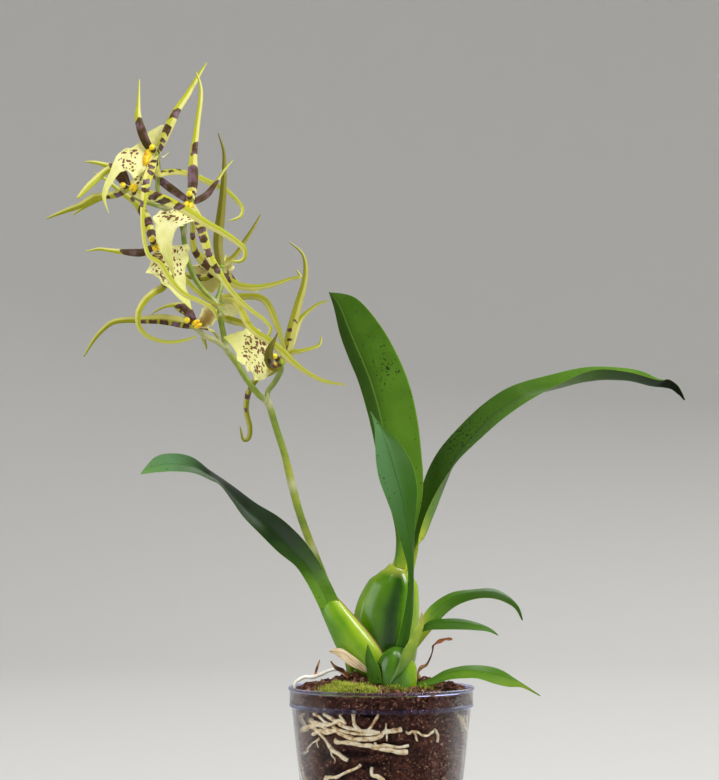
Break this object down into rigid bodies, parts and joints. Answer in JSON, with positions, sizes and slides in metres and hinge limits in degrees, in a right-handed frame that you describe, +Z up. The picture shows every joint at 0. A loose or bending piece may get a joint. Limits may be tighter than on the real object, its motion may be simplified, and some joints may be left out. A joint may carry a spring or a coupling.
{
  "type": "potted spider orchid",
  "caption": "Spider orchid in flower with an arching spray of long-sepalled blooms, strap leaves and swollen bulbs, growing in a clear tapered pot.",
  "frame": {"origin": "centre of the pot's flat base, on the surface it stands on", "axes": "+Z up through the pot; +X to the right of the plant seen from the side its blooms face; -Y towards that viewer"},
  "size_m": [0.415, 0.12, 0.5142],
  "materials": {
    "pot": "gloss",
    "growing_mix": "matte",
    "moss": "matte",
    "roots": "matte",
    "dry_parts": "matte",
    "bulbs": "satin",
    "leaves": "satin",
    "spike": "satin",
    "tepals": "satin",
    "lips": "satin"
  },
  "bodies": {
    "root": {"pot": "pot", "growing_mix": "growing_mix", "moss": "moss", "roots": "roots", "root_surface": "roots", "root_dry": "dry_parts", "bract_dry": "dry_parts", "bulb_back": "bulbs", "bulb_left": "bulbs", "shoot_front": "bulbs", "sheath_front": "bulbs", "sheath_left": "leaves", "leaf_back": "leaves", "leaf_right": "leaves", "leaf_front": "leaves", "leaf_left": "leaves", "leaf_young_upper": "leaves", "leaf_young_middle": "leaves", "leaf_young_lower": "leaves", "flower_spike": "spike", "flower_a_tepals": "tepals", "flower_a_lip": "lips", "flower_b_tepals": "tepals", "flower_b_lip": "lips", "flower_c_tepals": "tepals", "flower_c_lip": "lips", "flower_d_tepals": "tepals", "flower_d_lip": "lips", "flower_e_tepals": "tepals", "flower_e_lip": "lips", "flower_f_tepals": "tepals", "flower_f_lip": "lips", "flower_g_tepals": "tepals", "flower_g_lip": "lips", "flower_h_tepals": "tepals", "flower_h_lip": "lips"}
  },
  "joints": []
}
